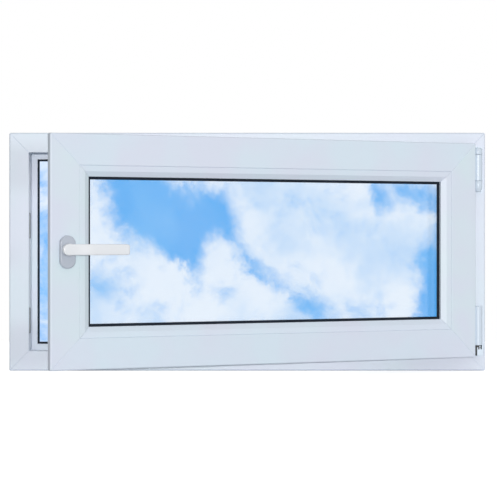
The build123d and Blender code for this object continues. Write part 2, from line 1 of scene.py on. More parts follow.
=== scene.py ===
"""Dresses the white PVC window: finishes for every piece, small fixings, studio light and the camera."""

import json
import logging
import math
from abc import ABC, abstractmethod
from dataclasses import dataclass, field
from enum import Enum
from typing import Any, Iterable, Optional, Sequence

import bmesh
import bpy
from mathutils import Matrix, Vector


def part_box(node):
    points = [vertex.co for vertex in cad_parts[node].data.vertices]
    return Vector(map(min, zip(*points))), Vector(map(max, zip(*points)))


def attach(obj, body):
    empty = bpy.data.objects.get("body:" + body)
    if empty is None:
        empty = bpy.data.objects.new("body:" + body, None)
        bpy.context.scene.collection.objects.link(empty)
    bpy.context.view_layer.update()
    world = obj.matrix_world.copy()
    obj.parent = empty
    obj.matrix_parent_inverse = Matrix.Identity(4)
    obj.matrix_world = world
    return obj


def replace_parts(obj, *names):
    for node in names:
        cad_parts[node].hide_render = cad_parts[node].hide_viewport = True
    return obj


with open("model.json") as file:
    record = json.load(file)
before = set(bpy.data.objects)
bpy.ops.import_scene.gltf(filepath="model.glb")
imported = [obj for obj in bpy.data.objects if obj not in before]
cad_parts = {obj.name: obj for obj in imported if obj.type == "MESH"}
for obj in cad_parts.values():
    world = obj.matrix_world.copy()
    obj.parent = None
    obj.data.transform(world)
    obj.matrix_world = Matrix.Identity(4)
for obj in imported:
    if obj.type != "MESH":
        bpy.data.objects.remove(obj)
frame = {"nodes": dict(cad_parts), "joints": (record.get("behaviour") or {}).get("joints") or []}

LOG = logging.getLogger("pvc_window")
MM = 0.001
RIGHT = Vector((1.0, 0.0, 0.0))
UP = Vector((0.0, 0.0, 1.0))
DOWN = Vector((0.0, 0.0, -1.0))

# Edges of new pieces that turn by more than this stay crisp.
CRISP_DEG = 40.0

# A softened arris: which edges get one, how finely it is rounded, and what counts as one point before that.
ARRIS_DEG = 50.0
ARRIS_SEGMENTS = 2
WELD_MM = 0.01

# Sockets of a Mix node that mixes colours: the ones before them belong to its other kinds of data.
COLOUR_A = 6
COLOUR_B = 7
COLOUR_OUT = 2

# Noise textures vary around this value.
NOISE_MIDDLE = 0.5


def linear(hex_colour: str) -> tuple[float, float, float, float]:
    """Turns an sRGB hex colour into Blender's linear colour, by the curve of the sRGB standard.

    Args:
        hex_colour: Six hex digits with a leading hash sign.

    Returns:
        Linear red, green and blue, with an alpha of 1.
    """
    channels = [int(hex_colour[i:i + 2], 16) / 255 for i in (1, 3, 5)]
    red, green, blue = (c / 12.92 if c <= 0.04045 else ((c + 0.055) / 1.055) ** 2.4 for c in channels)
    return red, green, blue, 1.0


def add_node(tree: bpy.types.NodeTree, kind: str, inputs: Optional[dict[Any, Any]] = None,
             **settings: Any) -> bpy.types.Node:
    """Adds one node, sets its properties, and fills or links its inputs.

    Args:
        tree: The node tree that takes the node.
        kind: Blender's type name of the node.
        inputs: For each input, by name or number, a value or the socket that feeds it.
        settings: Properties of the node itself.

    Returns:
        The new node.
    """
    node = tree.nodes.new(kind)
    for name, value in settings.items():
        setattr(node, name, value)
    for key, value in (inputs or {}).items():
        if isinstance(value, bpy.types.NodeSocket):
            tree.links.new(value, node.inputs[key])
        else:
            node.inputs[key].default_value = value
    return node


def per_metre(size_mm: float) -> float:
    """Gives the texture scale, in features a metre, for a feature of the given size."""
    return 1.0 / (size_mm * MM)


def joint_of(name: str) -> dict[str, Any]:
    """Gives the record of a joint, by its name."""
    return next(joint for joint in frame["joints"] if joint["name"] == name)


def turn_to(direction: Vector) -> Matrix:
    """Gives the turn that brings the Z axis to a direction."""
    return direction.to_track_quat("Z", "Y").to_matrix().to_4x4()


def quarter_turn(steps: int) -> list[float]:
    """Gives the angles of a quarter turn, in radians, from 0 in even steps."""
    return [math.pi / 2 * i / steps for i in range(steps + 1)]


class Run(Enum):
    """Which way a profile was drawn through its die."""

    LEVEL = "level"
    UPRIGHT = "upright"


class Body(Enum):
    """A body of the window that carries pieces."""

    FRAME = "frame"
    SASH = "sash"
    HANDLE = "handle"


class Slot(Enum):
    """A material slot of the record that new pieces use."""

    ZINC_STEEL = "zinc_steel"
    HANDLE_WHITE = "handle_white"


@dataclass(frozen=True)
class Finish(ABC):
    """What every finish has: the name of the real material, and a way to build it."""

    name: str

    @abstractmethod
    def material(self) -> bpy.types.Material:
        """Builds the material.

        Returns:
            The new material.
        """

    def new_tree(self) -> tuple[bpy.types.Material, bpy.types.NodeTree, bpy.types.Node]:
        """Starts a material.

        Returns:
            The material, its emptied node tree, and the output node.
        """
        material = bpy.data.materials.new(self.name)
        material.use_nodes = True
        tree = material.node_tree
        tree.nodes.clear()
        return material, tree, add_node(tree, "ShaderNodeOutputMaterial")


@dataclass(frozen=True)
class RigidPvc(Finish):
    """White rigid PVC, extruded.

    It gives the eye a satin sheen that runs along each member and changes at the mitres, because the
    lines of the die follow the profile, and a white that drifts between a cool and a lilac cast. Real die
    lines are some tenths of a millimetre apart: they are drawn coarser, or they would be lost between the
    pixels.
    """

    run: Run = Run.LEVEL
    swing: float = 0.0
    cool: str = "#D6E2EC"
    lilac: str = "#D9DFED"
    roughness: float = 0.42
    gloss_spread: float = 0.05
    ior: float = 1.53
    die_line_mm: float = 1.6
    line_length_mm: float = 420.0
    tint_mm: float = 130.0
    tint_from: float = 0.35
    tint_to: float = 0.65
    bump_mm: float = 0.012

    def material(self) -> bpy.types.Material:
        """Builds the material, with its die lines along the run of the profile.

        Returns:
            The new material.
        """
        material, tree, output = self.new_tree()
        place = add_node(tree, "ShaderNodeTexCoord")
        turned = add_node(tree, "ShaderNodeVectorRotate", {
            "Vector": place.outputs["Object"],
            "Angle": -self.swing,
        }, rotation_type="Z_AXIS")
        across = per_metre(self.die_line_mm)
        along = per_metre(self.line_length_mm)
        stretch = (along, across, across) if self.run is Run.LEVEL else (across, across, along)
        drawn = add_node(tree, "ShaderNodeMapping", {"Vector": turned.outputs[0], "Scale": stretch})
        lines = add_node(tree, "ShaderNodeTexNoise", {"Vector": drawn.outputs[0], "Scale": 1.0})
        cloud = add_node(tree, "ShaderNodeTexNoise", {
            "Vector": turned.outputs[0],
            "Scale": per_metre(self.tint_mm),
        })
        tint = add_node(tree, "ShaderNodeValToRGB", {"Fac": cloud.outputs["Fac"]})
        cool, lilac = tint.color_ramp.elements
        cool.position = self.tint_from
        cool.color = linear(self.cool)
        lilac.position = self.tint_to
        lilac.color = linear(self.lilac)
        gloss = add_node(tree, "ShaderNodeMapRange", {
            "Value": lines.outputs["Fac"],
            "To Min": self.roughness - self.gloss_spread,
            "To Max": self.roughness + self.gloss_spread,
        })
        bump = add_node(tree, "ShaderNodeBump", {
            "Height": lines.outputs["Fac"],
            "Strength": 1.0,
            "Distance": self.bump_mm * MM,
        })
        shader = add_node(tree, "ShaderNodeBsdfPrincipled", {
            "Base Color": tint.outputs["Color"],
            "Roughness": gloss.outputs["Result"],
            "IOR": self.ior,
            "Normal": bump.outputs["Normal"],
        })
        tree.links.new(shader.outputs["BSDF"], output.inputs["Surface"])
        return material


@dataclass(frozen=True)
class BlackPolymer(Finish):
    """Black polymer: EPDM rubber in the seals, polyamide in the bush of the lower hinge.

    It gives the eye a thin, nearly black line round the glass, matt on rubber and with a low shine on
    polyamide. The grain of the real skin is finer than a pixel and is drawn coarser.
    """

    dark: str = "#05101D"
    worn: str = "#0B1A2C"
    roughness: float = 0.8
    ior: float = 1.5
    grain_mm: float = 0.9
    grain_detail: float = 3.0
    bump_mm: float = 0.03

    def material(self) -> bpy.types.Material:
        """Builds the material, with a fine grain in its tone and relief.

        Returns:
            The new material.
        """
        material, tree, output = self.new_tree()
        place = add_node(tree, "ShaderNodeTexCoord")
        grain = add_node(tree, "ShaderNodeTexNoise", {
            "Vector": place.outputs["Object"],
            "Scale": per_metre(self.grain_mm),
            "Detail": self.grain_detail,
        })
        tone = add_node(tree, "ShaderNodeMix", {
            "Factor": grain.outputs["Fac"],
            COLOUR_A: linear(self.dark),
            COLOUR_B: linear(self.worn),
        }, data_type="RGBA")
        bump = add_node(tree, "ShaderNodeBump", {
            "Height": grain.outputs["Fac"],
            "Distance": self.bump_mm * MM,
        })
        shader = add_node(tree, "ShaderNodeBsdfPrincipled", {
            "Base Color": tone.outputs[COLOUR_OUT],
            "Roughness": self.roughness,
            "IOR": self.ior,
            "Normal": bump.outputs["Normal"],
        })
        tree.links.new(shader.outputs["BSDF"], output.inputs["Surface"])
        return material


@dataclass(frozen=True)
class FloatGlass(Finish):
    """Clear float glass.

    It gives the eye a clean view through, nearly without colour, and a mirror at grazing angles. Lamps
    shine through it, so it casts no dark shadow.
    """

    tint: str = "#FAFCFC"
    ior: float = 1.52

    def material(self) -> bpy.types.Material:
        """Builds the material: glass to the eye, and clear to shadow and diffuse rays.

        Returns:
            The new material.
        """
        material, tree, output = self.new_tree()
        path = add_node(tree, "ShaderNodeLightPath")
        pane = add_node(tree, "ShaderNodeBsdfPrincipled", {
            "Base Color": linear(self.tint),
            "Roughness": 0.0,
            "IOR": self.ior,
            "Transmission Weight": 1.0,
        })
        clear = add_node(tree, "ShaderNodeBsdfTransparent", {"Color": linear(self.tint)})
        lets_through = add_node(tree, "ShaderNodeMath", {
            0: path.outputs["Is Shadow Ray"],
            1: path.outputs["Is Diffuse Ray"],
        }, operation="MAXIMUM")
        mix = add_node(tree, "ShaderNodeMixShader", {
            0: lets_through.outputs[0],
            1: pane.outputs["BSDF"],
            2: clear.outputs["BSDF"],
        })
        tree.links.new(mix.outputs[0], output.inputs["Surface"])
        return material


@dataclass(frozen=True)
class PlatedMetal(Finish):
    """Metal with a thin even skin: zinc plated steel or mill finish aluminium.

    It gives the eye a grey shine that clouds over in patches some millimetres wide.
    """

    light: str = "#C3C6C8"
    dull: str = "#A9ADB1"
    roughness: float = 0.36
    gloss_spread: float = 0.1
    spangle_mm: float = 5.0
    spangle_detail: float = 4.0
    bump_mm: float = 0.01

    def material(self) -> bpy.types.Material:
        """Builds the material, with patches in its tone, gloss and relief.

        Returns:
            The new material.
        """
        material, tree, output = self.new_tree()
        place = add_node(tree, "ShaderNodeTexCoord")
        spangle = add_node(tree, "ShaderNodeTexNoise", {
            "Vector": place.outputs["Object"],
            "Scale": per_metre(self.spangle_mm),
            "Detail": self.spangle_detail,
        })
        tone = add_node(tree, "ShaderNodeMix", {
            "Factor": spangle.outputs["Fac"],
            COLOUR_A: linear(self.light),
            COLOUR_B: linear(self.dull),
        }, data_type="RGBA")
        gloss = add_node(tree, "ShaderNodeMapRange", {
            "Value": spangle.outputs["Fac"],
            "To Min": self.roughness - self.gloss_spread,
            "To Max": self.roughness + self.gloss_spread,
        })
        bump = add_node(tree, "ShaderNodeBump", {
            "Height": spangle.outputs["Fac"],
            "Distance": self.bump_mm * MM,
        })
        shader = add_node(tree, "ShaderNodeBsdfPrincipled", {
            "Base Color": tone.outputs[COLOUR_OUT],
            "Metallic": 1.0,
            "Roughness": gloss.outputs["Result"],
            "Normal": bump.outputs["Normal"],
        })
        tree.links.new(shader.outputs["BSDF"], output.inputs["Surface"])
        return material


@dataclass(frozen=True)
class WhiteCoat(Finish):
    """A white coat: powder coat on cast metal, or a moulded polyamide cover.

    It gives the eye a smoother shine than the profiles have, with highlights that waver on a fine orange
    peel.
    """

    colour: str = "#E9EBEE"
    shade: str = "#E3E6EA"
    roughness: float = 0.28
    ior: float = 1.5
    peel_mm: float = 1.1
    peel_detail: float = 1.0
    bump_mm: float = 0.02

    def material(self) -> bpy.types.Material:
        """Builds the material, with an orange peel in its tone and relief.

        Returns:
            The new material.
        """
        material, tree, output = self.new_tree()
        place = add_node(tree, "ShaderNodeTexCoord")
        peel = add_node(tree, "ShaderNodeTexNoise", {
            "Vector": place.outputs["Object"],
            "Scale": per_metre(self.peel_mm),
            "Detail": self.peel_detail,
        })
        tone = add_node(tree, "ShaderNodeMix", {
            "Factor": peel.outputs["Fac"],
            COLOUR_A: linear(self.colour),
            COLOUR_B: linear(self.shade),
        }, data_type="RGBA")
        bump = add_node(tree, "ShaderNodeBump", {
            "Height": peel.outputs["Fac"],
            "Distance": self.bump_mm * MM,
        })
        shader = add_node(tree, "ShaderNodeBsdfPrincipled", {
            "Base Color": tone.outputs[COLOUR_OUT],
            "Roughness": self.roughness,
            "IOR": self.ior,
            "Normal": bump.outputs["Normal"],
        })
        tree.links.new(shader.outputs["BSDF"], output.inputs["Surface"])
        return material


@dataclass(frozen=True)
class MattFloorPaint(Finish):
    """Matt pale paint on the floor.

    It gives the eye plain white with the window's shadow in it. Only what looks at the floor, directly or
    through the glass, sees it lifted to white: the light that it throws back at the window isn't lifted.
    """

    paint: str = "#C9CBCE"
    white: str = "#FFFFFF"
    lift: float = 0.8

    def material(self) -> bpy.types.Material:
        """Builds the material: plain paint, lifted for the eye alone.

        Returns:
            The new material.
        """
        material, tree, output = self.new_tree()
        path = add_node(tree, "ShaderNodeLightPath")
        paint = add_node(tree, "ShaderNodeBsdfDiffuse", {"Color": linear(self.paint)})
        lift = add_node(tree, "ShaderNodeEmission", {"Color": linear(self.white), "Strength": self.lift})
        lit = add_node(tree, "ShaderNodeAddShader", {0: paint.outputs[0], 1: lift.outputs[0]})
        looked_at = add_node(tree, "ShaderNodeMath", {
            0: path.outputs["Is Camera Ray"],
            1: path.outputs["Is Transmission Ray"],
        }, operation="MAXIMUM")
        mix = add_node(tree, "ShaderNodeMixShader", {
            0: looked_at.outputs[0],
            1: paint.outputs[0],
            2: lit.outputs[0],
        })
        tree.links.new(mix.outputs[0], output.inputs["Surface"])
        return material


@dataclass(frozen=True)
class OpenAir(Finish):
    """The air in the frame's opening.

    It gives the eye the same sky beside the open sash as through the glass. It bends no light, mirrors
    nothing and casts no shadow.
    """

    def material(self) -> bpy.types.Material:
        """Builds the material: what the eye sees through it counts as seen through a pane.

        Returns:
            The new material.
        """
        material, tree, output = self.new_tree()
        path = add_node(tree, "ShaderNodeLightPath")
        pane = add_node(tree, "ShaderNodeBsdfRefraction", {"Roughness": 0.0, "IOR": 1.0})
        clear = add_node(tree, "ShaderNodeBsdfTransparent")
        mix = add_node(tree, "ShaderNodeMixShader", {
            0: path.outputs["Is Camera Ray"],
            1: clear.outputs["BSDF"],
            2: pane.outputs["BSDF"],
        })
        tree.links.new(mix.outputs[0], output.inputs["Surface"])
        return material


def dress(nodes: Iterable[str], finish: Finish) -> None:
    """Gives CAD pieces a finish.

    Args:
        nodes: Names of the pieces.
        finish: The finish that they share.
    """
    material = finish.material()
    for name in nodes:
        mesh = frame["nodes"][name].data
        mesh.materials.clear()
        mesh.materials.append(material)
        LOG.info("%s: %s", name, finish.name)


def soften(nodes: Iterable[str], width_mm: float) -> None:
    """Takes the sharp arris off CAD pieces.

    Args:
        nodes: Names of the pieces.
        width_mm: How wide the softened edge is.
    """
    for name in nodes:
        piece = frame["nodes"][name]
        weld = piece.modifiers.new("weld", "WELD")
        weld.merge_threshold = WELD_MM * MM
        bevel = piece.modifiers.new("arris", "BEVEL")
        bevel.width = width_mm * MM
        bevel.segments = ARRIS_SEGMENTS
        bevel.limit_method = "ANGLE"
        bevel.angle_limit = math.radians(ARRIS_DEG)
        bevel.harden_normals = True


@dataclass
class Shell:
    """A closed skin under construction, in millimetres, that becomes one piece of the window."""

    name: str
    mesh: bmesh.types.BMesh = field(default_factory=bmesh.new)

    def loop(self, points: Iterable[Vector]) -> list[bmesh.types.BMVert]:
        """Adds one closed row of points and gives it back."""
        return [self.mesh.verts.new(point) for point in points]

    def skin(self, rows: Sequence[list[bmesh.types.BMVert]]) -> None:
        """Closes the band between each row and the next.

        Args:
            rows: Closed rows with the same number of points, in order.
        """
        for low, high in zip(rows, rows[1:]):
            count = len(low)
            for i in range(count):
                j = (i + 1) % count
                self.mesh.faces.new((low[i], low[j], high[j], high[i]))

    def cap(self, row: list[bmesh.types.BMVert]) -> None:
        """Closes a row with one flat face."""
        self.mesh.faces.new(row)

    def piece(self, place: Matrix, body: Body, slot: Slot, finish: Finish) -> bpy.types.Object:
        """Makes the piece and lets it ride on a body.

        Args:
            place: Where the piece stands, in metres, and which way it faces.
            body: The body that carries it.
            slot: The record's material slot; not used.
            finish: The piece's finish.

        Returns:
            The new object.
        """
        bmesh.ops.recalc_face_normals(self.mesh, faces=self.mesh.faces[:])
        self.mesh.transform(place @ Matrix.Scale(MM, 4))
        data = bpy.data.meshes.new(self.name)
        self.mesh.to_mesh(data)
        self.mesh.free()
        data.polygons.foreach_set("use_smooth", [True] * len(data.polygons))
        data.set_sharp_from_angle(angle=math.radians(CRISP_DEG))
        data.materials.append(finish.material())
        thing = bpy.data.objects.new(self.name, data)
        bpy.context.scene.collection.objects.link(thing)
        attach(thing, body.value)
        LOG.info("%s: %s, %d faces", self.name, finish.name, len(data.polygons))
        return thing


@dataclass(frozen=True)
class CrossHeadScrew:
    """A countersunk screw, of which the head shows: a shallow dome with a cross recess.

    Sizes are in millimetres.
    """

    head_radius: float = 3.4
    edge: float = 0.25
    dome: float = 0.35
    arm_length: float = 1.9
    arm_half_width: float = 0.45
    recess_depth: float = 1.1
    recess_taper: float = 0.72
    points: int = 48

    def cross_radius(self, angle: float) -> float:
        """Gives how far the recess reaches from the middle, in one direction between the arms' axes.

        Args:
            angle: The direction, in radians.

        Returns:
            The distance in millimetres.
        """
        across = abs(math.sin(angle))
        along = abs(math.cos(angle))
        level = min(self.arm_length / along, self.arm_half_width / across)
        upright = min(self.arm_length / across, self.arm_half_width / along)
        return max(level, upright)

    def add_to(self, shell: Shell, place: Matrix) -> None:
        """Adds one screw head.

        Args:
            shell: The skin that takes the head.
            place: Where the head sits, in millimetres, with its axis along Z.
        """
        # Half a step off the axes, so that no point lies on an arm's middle line.
        angles = [math.tau * (i + 0.5) / self.points for i in range(self.points)]
        reach = [self.cross_radius(angle) for angle in angles]
        rings = [
            ([self.head_radius] * self.points, -self.edge),
            ([self.head_radius] * self.points, 0.0),
            ([self.head_radius - self.edge] * self.points, self.edge / 2),
            (reach, self.dome),
            ([r * self.recess_taper for r in reach], self.dome - self.recess_depth),
        ]
        rows = []
        for radii, height in rings:
            points = (Vector((r * math.cos(a), r * math.sin(a), height)) for a, r in zip(angles, radii))
            rows.append(shell.loop(place @ point for point in points))
        shell.skin(rows)
        shell.cap(rows[0][::-1])
        shell.cap(rows[-1])


@dataclass
class OuterFrame:
    """The frame that stays with the wall, with its seal, keeps and hinge bearings.

    Sizes are in millimetres.
    """

    level: tuple[str, ...] = ("frame_sill", "frame_head")
    upright: tuple[str, ...] = ("frame_left_jamb", "frame_right_jamb")
    keeps: tuple[str, ...] = ("keep_left_lower", "keep_left_upper", "keep_head", "keep_sill")
    bearings: tuple[str, ...] = ("hinge_bottom_bearing", "hinge_top_bearing")
    pins: tuple[str, ...] = ("hinge_bottom_pin", "hinge_top_pin")
    keep_arris: float = 0.4
    bearing_arris: float = 0.5
    keep_screw_spacing: float = 43.0

    def build(self) -> None:
        """Dresses the frame's pieces and adds the screws of the keeps."""
        dress(self.level, RigidPvc("rigid_pvc_frame_level"))
        dress(self.upright, RigidPvc("rigid_pvc_frame_upright", run=Run.UPRIGHT))
        dress(("frame_seal",), BlackPolymer("epdm_rubber_frame_seal"))
        steel = PlatedMetal("zinc_plated_steel_keeps", light="#AAAEB3", dull="#90959B", roughness=0.58)
        dress(self.keeps + self.pins, steel)
        dress(self.bearings, WhiteCoat("white_polyamide_bearings", colour="#D6E2EE", shade="#CFDCE9"))
        polyamide = BlackPolymer("black_polyamide_bush", dark="#0D0F12", worn="#15171B", roughness=0.4)
        dress(("hinge_bottom_bush",), polyamide)
        soften(self.keeps, self.keep_arris)
        soften(self.bearings, self.bearing_arris)
        self.build_keep_screws()

    def build_keep_screws(self) -> None:
        """Puts two screws in each keep, on the side that faces the sash."""
        shell = Shell("keep_screws")
        screw = CrossHeadScrew()
        for name in self.keeps:
            low, high = (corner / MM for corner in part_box(name))
            inwards = self.inward_side(name)
            along = UP if inwards == RIGHT else RIGHT
            face = (low + high) / 2 + inwards * abs((high - low).dot(inwards)) / 2
            for side in (-1, 1):
                spot = face + along * side * self.keep_screw_spacing / 2
                screw.add_to(shell, Matrix.Translation(spot - inwards * screw.dome) @ turn_to(inwards))
        steel = PlatedMetal("zinc_plated_screws", roughness=0.3)
        shell.piece(Matrix.Identity(4), Body.FRAME, Slot.ZINC_STEEL, steel)

    @staticmethod
    def inward_side(keep: str) -> Vector:
        """Gives the direction in which a keep faces, towards the sash.

        Args:
            keep: The keep's name.

        Returns:
            The direction, one long.
        """
        if keep == "keep_head":
            return DOWN
        if keep == "keep_sill":
            return UP
        return RIGHT


@dataclass
class Sash:
    """The sash that turns, with its glass, beads, seals and hardware. Sizes are in millimetres."""

    level: tuple[str, ...] = ("sash_bottom_rail", "sash_top_rail", "bead_bottom", "bead_top")
    upright: tuple[str, ...] = ("sash_lock_stile", "sash_hinge_stile", "bead_lock_side", "bead_hinge_side")
    seals: tuple[str, ...] = ("glazing_seal_inner", "glazing_seal_outer", "sash_seal")
    panes: tuple[str, ...] = ("glass_inner", "glass_outer")
    strips: tuple[str, ...] = ("lock_strip_side", "lock_strip_top", "lock_strip_bottom")
    sleeves: tuple[str, ...] = ("hinge_bottom_sleeve", "hinge_top_sleeve")
    strip_arris: float = 0.3
    pane_arris: float = 0.5
    cam_height: float = 1.5
    side_screws: tuple[float, ...] = (-140.0, -40.0, 40.0, 140.0)
    level_screws: tuple[float, ...] = (-380.0, -240.0, -90.0, 90.0, 240.0, 380.0)

    @property
    def swing(self) -> float:
        """How far the sash stands open, in radians: the range of its joint starts at shut."""
        return -math.radians(joint_of("sash_turn")["range_deg"][0])

    def build(self) -> None:
        """Dresses the sash's pieces and adds the screws of the lock strips."""
        swing = self.swing
        dress(self.level, RigidPvc("rigid_pvc_sash_level", swing=swing, cool="#D6E4EF"))
        upright = RigidPvc("rigid_pvc_sash_upright", run=Run.UPRIGHT, swing=swing, cool="#D6E6EC")
        dress(self.upright, upright)
        dress(self.seals, BlackPolymer("epdm_rubber_sash_seals"))
        dress(self.panes, FloatGlass("clear_float_glass"))
        aluminium = PlatedMetal("mill_finish_aluminium", light="#C9CED6", dull="#B4BAC4", roughness=0.5)
        dress(("spacer_bar",), aluminium)
        dress(self.strips, PlatedMetal("zinc_plated_steel_strips"))
        dress(self.sleeves, WhiteCoat("white_polyamide_sleeves", colour="#D6E2EE", shade="#CFDCE9"))
        soften(self.strips, self.strip_arris)
        soften(self.panes, self.pane_arris)
        self.build_strip_screws()

    def build_strip_screws(self) -> None:
        """Puts screws in the lock strips, on the side that faces the frame."""
        shell = Shell("strip_screws")
        screw = CrossHeadScrew()
        level = Vector((math.cos(self.swing), math.sin(self.swing), 0.0))
        rows = (
            ("lock_strip_side", UP, -level, self.side_screws),
            ("lock_strip_top", level, UP, self.level_screws),
            ("lock_strip_bottom", level, -UP, self.level_screws),
        )
        for name, along, outwards, places in rows:
            across = along.cross(outwards)
            points = [vertex.co / MM for vertex in frame["nodes"][name].data.vertices]
            face = max(point.dot(outwards) for point in points) - self.cam_height - screw.dome
            spot = outwards * face
            for side in (along, across):
                reach = [point.dot(side) for point in points]
                spot += side * (min(reach) + max(reach)) / 2
            for place in places:
                screw.add_to(shell, Matrix.Translation(spot + along * place) @ turn_to(outwards))
        steel = PlatedMetal("zinc_plated_strip_screws", roughness=0.3)
        shell.piece(Matrix.Identity(4), Body.SASH, Slot.ZINC_STEEL, steel)


@dataclass
class Handle:
    """The lever handle on the lock stile.

    Sizes are in millimetres, from the point where the handle's axis meets the sash's face.
    """

    length: float = 117.0
    hub_radius: float = 10.6
    hub_shift: float = 4.5
    tip_width: float = 20.4
    tip_corner: float = 5.0
    hub_back: float = 13.5
    hub_front: float = 24.0
    bar_back: float = 20.0
    bar_front: float = 31.0
    bend_start: float = 8.0
    bend_end: float = 46.0
    crown: float = 0.5
    edge_round: float = 2.4
    neck_radius: float = 11.5
    neck_lift: float = 0.5
    neck_top: float = 19.0
    neck_round: float = 1.0
    rosette_width: float = 31.0
    rosette_height: float = 62.5
    rosette_drop: float = 4.5
    rosette_thickness: float = 8.0
    rosette_round: float = 2.5
    seam_height: float = 1.6
    seam_width: float = 0.5
    collar_radius: float = 12.8
    collar_height: float = 1.2
    collar_round: float = 0.4
    bore_radius: float = 11.6
    hub_steps: int = 18
    side_steps: int = 44
    tip_steps: int = 9
    edge_steps: int = 5
    neck_steps: int = 54
    neck_round_steps: int = 9
    rosette_end_steps: int = 36
    rosette_round_steps: int = 6

    @property
    def place(self) -> Matrix:
        """The handle's own directions: X along the lever, Y up, and Z towards the room."""
        joint = joint_of("handle_turn")
        out = Vector(joint["axis"]).normalized()
        turn = Matrix((UP.cross(out), UP, out)).transposed().to_4x4()
        return Matrix.Translation(Vector(joint["pos_m"])) @ turn

    def build(self) -> None:
        """Builds and dresses the handle's pieces."""
        coat = WhiteCoat("white_powder_coat")
        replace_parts(self.build_lever(coat), "handle_lever")
        self.build_neck(coat)
        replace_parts(self.build_rosette(), "handle_rosette")
        dress(("handle_spindle",), PlatedMetal("zinc_plated_steel_spindle"))

    def rise(self, along: float) -> float:
        """Gives how far the lever's bend has risen, in a smooth S.

        Args:
            along: The distance from the handle's axis along the lever.

        Returns:
            A share from 0 at the hub to 1 on the bar.
        """
        share = min(max((along - self.bend_start) / (self.bend_end - self.bend_start), 0.0), 1.0)
        return share * share * (3.0 - 2.0 * share)

    def level(self, along: float, front: bool) -> float:
        """Gives the height of the lever's edge over the sash's face.

        Args:
            along: The distance from the handle's axis along the lever.
            front: Whether the edge is the front one, which lies below the crown, or the back one.

        Returns:
            The height in millimetres.
        """
        if front:
            return self.hub_front + (self.bar_front - self.hub_front) * self.rise(along) - self.crown
        return self.hub_back + (self.bar_back - self.hub_back) * self.rise(along)

    def lever_outline(self, inset: float) -> list[tuple[float, float]]:
        """Draws the lever's upper outline, seen from the room, from the hub's left end to the tip's middle.

        Args:
            inset: How far inside the outer edge the line runs.

        Returns:
            Points along the lever and over its middle line.
        """
        hub = self.hub_radius - inset
        corner = self.tip_corner - inset
        tip = self.length - self.tip_corner
        step = self.tip_width / 2 - self.tip_corner
        span = tip + self.hub_shift
        # The direction from each round's middle to the point where the straight side leaves it.
        lean = math.atan2(step, span) + math.acos((hub - corner) / math.hypot(span, step))
        hub_arc = [math.pi + (lean - math.pi) * i / self.hub_steps for i in range(self.hub_steps + 1)]
        points = [(hub * math.cos(a) - self.hub_shift, hub * math.sin(a)) for a in hub_arc]
        start = points[-1]
        end = (tip + corner * math.cos(lean), step + corner * math.sin(lean))
        for i in range(1, self.side_steps):
            share = i / self.side_steps
            points.append((start[0] + (end[0] - start[0]) * share, start[1] + (end[1] - start[1]) * share))
        tip_arc = [lean * (1 - i / self.tip_steps) for i in range(self.tip_steps + 1)]
        points += [(tip + corner * math.cos(a), step + corner * math.sin(a)) for a in tip_arc]
        return points + [(self.length - inset, 0.0)]

    def build_lever(self, coat: WhiteCoat) -> bpy.types.Object:
        """Builds the cranked lever: rounded edges, a slightly crowned face, and a smooth bend.

        Args:
            coat: The finish that it shares with its neck.

        Returns:
            The lever.
        """
        shell = Shell("handle_lever_coated")
        edge = self.edge_round
        back_edge = [(edge * (1 - math.sin(a)), edge * (1 - math.cos(a)), False)
                     for a in quarter_turn(self.edge_steps)]
        front_edge = [(inset, -depth, True) for inset, depth, _ in reversed(back_edge)]
        rows = []
        for inset, over, front in back_edge + front_edge:
            half = self.lever_outline(inset)
            ring = half + [(x, -y) for x, y in half[-2:0:-1]]
            rows.append(shell.loop(Vector((x, y, self.level(x, front) + over)) for x, y in ring))
        shell.skin(rows)
        self.close_lever(shell, rows[0], front=False)
        self.close_lever(shell, rows[-1], front=True)
        return shell.piece(self.place, Body.HANDLE, Slot.HANDLE_WHITE, coat)

    def close_lever(self, shell: Shell, row: list[bmesh.types.BMVert], front: bool) -> None:
        """Closes the lever's back, or its crowned front, with bands across it.

        Args:
            shell: The lever's skin.
            row: The row of points to close.
            front: Whether it is the front.
        """
        half = len(row) // 2
        ridge = [row[0]]
        for i in range(1, half):
            middle = row[i].co.copy()
            middle.y = 0.0
            if front:
                middle.z += self.crown * min(1.0, row[i].co.y / self.tip_corner)
            ridge.append(shell.mesh.verts.new(middle))
        ridge.append(row[half])
        for i in range(half):
            upper = (row[i], row[i + 1])
            lower = (row[-i], row[-i - 1])
            for side in (upper, lower):
                corners = list(dict.fromkeys((side[0], side[1], ridge[i + 1], ridge[i])))
                if len(corners) > 2:
                    shell.mesh.faces.new(corners)

    def build_neck(self, coat: WhiteCoat) -> None:
        """Builds the round neck, which stands in the rosette and carries the lever on its rounded top.

        Args:
            coat: The finish that it shares with the lever.
        """
        shell = Shell("handle_neck")
        inner = self.neck_radius - self.neck_round
        top = self.neck_top - self.neck_round
        profile = [(self.neck_radius, self.neck_lift)]
        profile += [(inner + self.neck_round * math.cos(a), top + self.neck_round * math.sin(a))
                    for a in quarter_turn(self.neck_round_steps)]
        angles = [math.tau * i / self.neck_steps for i in range(self.neck_steps)]
        rows = []
        for radius, height in profile:
            points = (Vector((radius * math.cos(a), radius * math.sin(a), height)) for a in angles)
            rows.append(shell.loop(points))
        shell.skin(rows)
        shell.cap(rows[0][::-1])
        shell.cap(rows[-1])
        shell.piece(self.place, Body.HANDLE, Slot.HANDLE_WHITE, coat)

